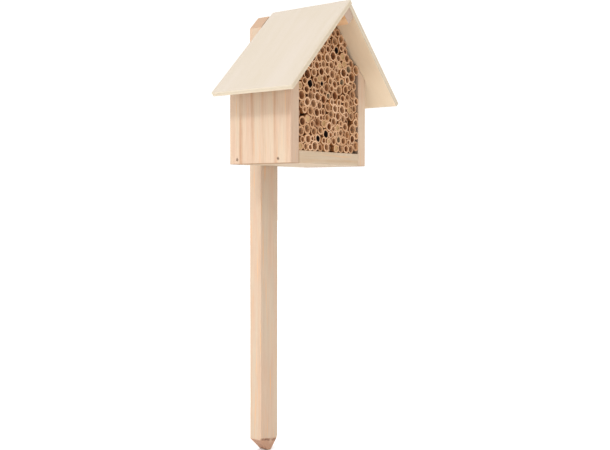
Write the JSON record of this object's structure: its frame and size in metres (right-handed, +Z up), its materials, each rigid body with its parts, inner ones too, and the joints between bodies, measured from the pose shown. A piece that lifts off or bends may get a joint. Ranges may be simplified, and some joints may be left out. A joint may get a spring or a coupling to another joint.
{
  "type": "insect hotel",
  "caption": "Small gabled wooden house on a pointed stake, open at the front and filled with cut reeds for solitary bees.",
  "frame": {"origin": "on the stake's centre line, at the level of the stake's lowest end", "axes": "+Z up along the stake, -Y towards the open front of the house, +X to the right seen from the front"},
  "size_m": [0.1903, 0.12, 0.4801],
  "materials": {
    "pine_stake": "sawn, planed, raw",
    "pine_board": "planed, raw",
    "pine_batten": "sawn, raw",
    "plywood": "sanded birch or poplar plywood, raw",
    "reed": "dried reed, sawn ends",
    "steel_wire": "dull bare steel",
    "zinc_steel": "zinc plated"
  },
  "bodies": {
    "root": {"stake": "pine_stake", "left_wall": "pine_board", "right_wall": "pine_board", "base_board": "pine_board", "back_board": "pine_board", "roof_left": "plywood", "roof_right": "plywood", "ridge_batten": "pine_batten", "wall_nails": "steel_wire", "stake_screws": "zinc_steel", "reeds_6_0mm": "reed", "reeds_6_5mm": "reed", "reeds_7_0mm": "reed", "reeds_closed_7_0mm": "reed", "reeds_7_5mm": "reed", "reeds_8_0mm": "reed", "reeds_closed_8_0mm": "reed", "reeds_8_5mm": "reed", "reeds_9_0mm": "reed", "reeds_9_5mm": "reed", "reeds_10_0mm": "reed", "reeds_10_5mm": "reed", "reeds_11_0mm": "reed"}
  },
  "joints": []
}
